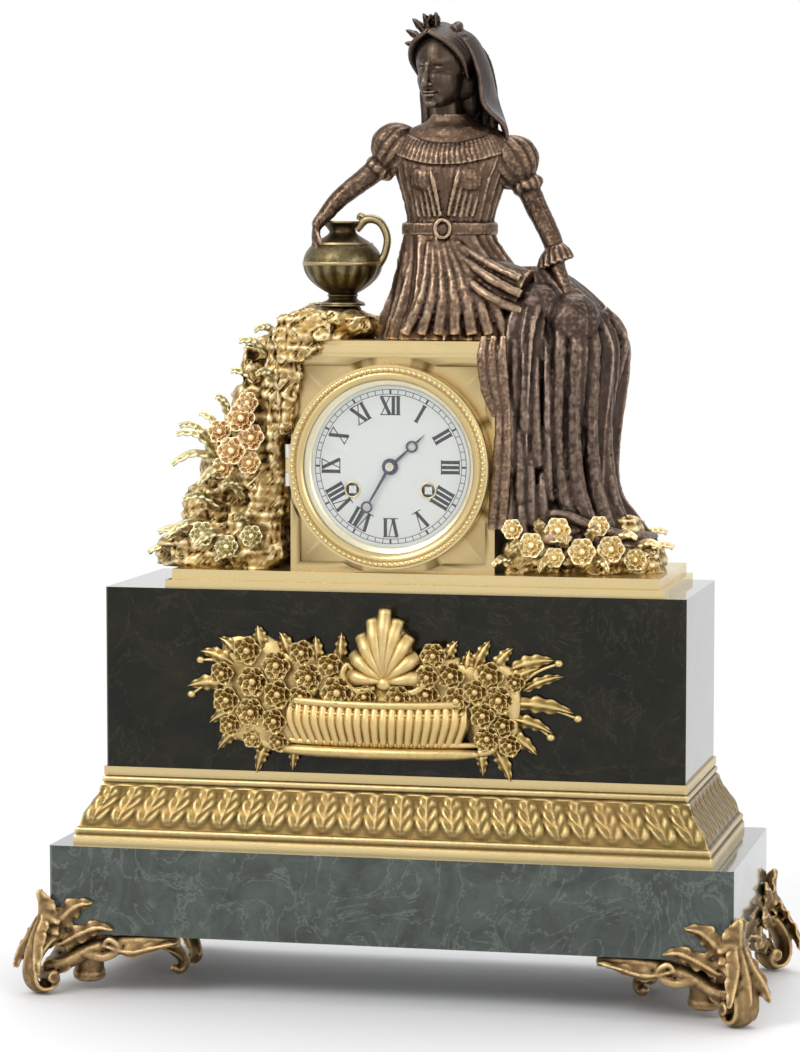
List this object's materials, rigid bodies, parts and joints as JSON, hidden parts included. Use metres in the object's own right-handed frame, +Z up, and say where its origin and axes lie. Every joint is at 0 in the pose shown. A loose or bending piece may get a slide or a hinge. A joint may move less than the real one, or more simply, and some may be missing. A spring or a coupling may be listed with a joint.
{
  "type": "figural mantel clock",
  "caption": "Table clock on a stepped marble base, with a drum movement in a gilt rockwork case and a draped figure beside a ewer on top.",
  "frame": {"origin": "middle of the footprint, on the plane that the four feet stand on", "axes": "+Z up, -Y towards the viewer who reads the dial, +X to that viewer's right"},
  "size_m": [0.3894, 0.1674, 0.51],
  "materials": {
    "gilt_bronze": "matt and burnished gilding",
    "foot_bronze": "worn dark gilding",
    "patinated_bronze": "dark brown patina",
    "green_marble": "polished",
    "black_marble": "polished",
    "white_enamel": "glossy",
    "dark_steel": "blued",
    "clear_glass": "clear",
    "movement_brass": "grained",
    "polished_steel": "polished",
    "bell_metal": "turned"
  },
  "bodies": {
    "clock": {"lower_plinth": "green_marble", "foot_front_left": "foot_bronze", "foot_front_right": "foot_bronze", "foot_rear_left": "foot_bronze", "foot_rear_right": "foot_bronze", "base_bolts": "polished_steel", "moulded_band": "gilt_bronze", "marble_block": "black_marble", "front_mount": "gilt_bronze", "terrace_plate": "gilt_bronze", "clock_case": "gilt_bronze", "case_slab": "gilt_bronze", "rockwork_left": "gilt_bronze", "rockwork_right": "gilt_bronze", "ewer": "gilt_bronze", "figure_skirt": "patinated_bronze", "figure_bodice": "patinated_bronze", "figure_head": "patinated_bronze", "figure_hair": "patinated_bronze", "arm_on_ewer": "patinated_bronze", "arm_on_cloak": "patinated_bronze", "figure_cloak": "patinated_bronze", "dial_frame": "movement_brass", "dial": "white_enamel", "hinge_pins": "polished_steel", "front_plate": "movement_brass", "back_plate": "movement_brass", "pillars": "movement_brass", "movement_straps": "movement_brass", "movement_screws": "polished_steel", "rear_ring": "movement_brass", "clicks": "polished_steel", "pallet_cock": "movement_brass", "bell_stand": "polished_steel", "bell": "bell_metal", "bell_nut": "polished_steel"},
    "bezel_door": {"bezel": "gilt_bronze", "bezel_glass": "clear_glass"},
    "rear_door": {"back_door": "movement_brass"},
    "minute": {"cannon_pinion": "polished_steel", "minute_hand": "dark_steel"},
    "hour": {"hour_wheel": "movement_brass", "hour_hand": "dark_steel"},
    "motion": {"motion_wheel": "movement_brass"},
    "going_drum": {"going_barrel": "movement_brass"},
    "going_winder": {"going_arbor": "polished_steel"},
    "centre": {"centre_arbor": "movement_brass"},
    "third": {"third_wheel": "movement_brass"},
    "escape": {"escape_wheel": "movement_brass"},
    "anchor_body": {"anchor": "polished_steel"},
    "pendulum": {"pendulum_rod": "polished_steel", "pendulum_bob": "movement_brass", "rating_nut": "movement_brass"},
    "strike_drum": {"strike_barrel": "movement_brass"},
    "strike_winder": {"strike_arbor": "polished_steel"},
    "second": {"second_wheel": "movement_brass", "count_wheel": "movement_brass"},
    "pin": {"pin_wheel": "movement_brass"},
    "fly_body": {"fly": "movement_brass"},
    "hammer_body": {"hammer": "polished_steel"}
  },
  "joints": [
    {"name": "bezel_hinge", "type": "hinge", "parent": "clock", "child": "bezel_door", "pos_m": [-0.0565, -0.043, 0.2775], "axis": [0, 0, -1], "range_deg": [0, 100]},
    {"name": "rear_door_hinge", "type": "hinge", "parent": "clock", "child": "rear_door", "pos_m": [-0.05, 0.0448, 0.2775], "axis": [0, 0, 1], "range_deg": [0, 110]},
    {"name": "minute_turn", "type": "hinge", "parent": "clock", "child": "minute", "pos_m": [-0.002, 0, 0.2775], "axis": [0, 1, 0], "continuous": true},
    {"name": "hour_turn", "type": "hinge", "parent": "clock", "child": "hour", "pos_m": [-0.002, 0, 0.2775], "axis": [0, 1, 0], "continuous": true},
    {"name": "motion_turn", "type": "hinge", "parent": "clock", "child": "motion", "pos_m": [-0.002, 0, 0.2665], "axis": [0, 1, 0], "continuous": true},
    {"name": "third_turn", "type": "hinge", "parent": "clock", "child": "third", "pos_m": [0.012, 0, 0.2915], "axis": [0, 1, 0], "continuous": true},
    {"name": "centre_turn", "type": "hinge", "parent": "clock", "child": "centre", "pos_m": [-0.002, 0, 0.2775], "axis": [0, 1, 0], "continuous": true},
    {"name": "going_drum_turn", "type": "hinge", "parent": "clock", "child": "going_drum", "pos_m": [0.018, 0, 0.2655], "axis": [0, 1, 0], "continuous": true},
    {"name": "escape_turn", "type": "hinge", "parent": "clock", "child": "escape", "pos_m": [-0.002, 0, 0.298], "axis": [0, 1, 0], "continuous": true},
    {"name": "going_winding", "type": "hinge", "parent": "clock", "child": "going_winder", "pos_m": [0.018, 0, 0.2655], "axis": [0, 1, 0], "continuous": true},
    {"name": "pin_turn", "type": "hinge", "parent": "clock", "child": "pin", "pos_m": [-0.0145, 0, 0.3035], "axis": [0, 1, 0], "continuous": true},
    {"name": "second_turn", "type": "hinge", "parent": "clock", "child": "second", "pos_m": [-0.022, 0, 0.2888], "axis": [0, 1, 0], "continuous": true},
    {"name": "strike_drum_turn", "type": "hinge", "parent": "clock", "child": "strike_drum", "pos_m": [-0.022, 0, 0.2655], "axis": [0, 1, 0], "continuous": true},
    {"name": "fly_turn", "type": "hinge", "parent": "clock", "child": "fly_body", "pos_m": [-0.0275, 0, 0.305], "axis": [0, 1, 0], "continuous": true},
    {"name": "strike_winding", "type": "hinge", "parent": "clock", "child": "strike_winder", "pos_m": [-0.022, 0, 0.2655], "axis": [0, 1, 0], "continuous": true},
    {"name": "pendulum_swing", "type": "hinge", "parent": "clock", "child": "pendulum", "pos_m": [-0.002, 0.005, 0.3105], "axis": [0, 1, 0], "range_deg": [-4, 4]},
    {"name": "anchor_rock", "type": "hinge", "parent": "clock", "child": "anchor_body", "pos_m": [-0.002, 0.005, 0.3105], "axis": [0, 1, 0], "range_deg": [-4, 4]},
    {"name": "hammer_lift", "type": "hinge", "parent": "clock", "child": "hammer_body", "pos_m": [-0.0384, 0, 0.2927], "axis": [0, -1, 0], "range_deg": [0, 12], "stiffness_Nm_per_rad": 0.01, "springref_deg": -17.19}
  ],
  "couplings": [
    {"joint": "hour_turn", "follows": "minute_turn", "ratio": 0.083333},
    {"joint": "motion_turn", "follows": "minute_turn", "ratio": -0.33333},
    {"joint": "centre_turn", "follows": "third_turn", "ratio": -0.075},
    {"joint": "going_drum_turn", "follows": "third_turn", "ratio": 0.0125},
    {"joint": "escape_turn", "follows": "third_turn", "ratio": -13},
    {"joint": "second_turn", "follows": "pin_turn", "ratio": -0.11111},
    {"joint": "strike_drum_turn", "follows": "pin_turn", "ratio": 0.018519},
    {"joint": "fly_turn", "follows": "pin_turn", "ratio": -10},
    {"joint": "anchor_rock", "follows": "pendulum_swing", "ratio": 1}
  ]
}
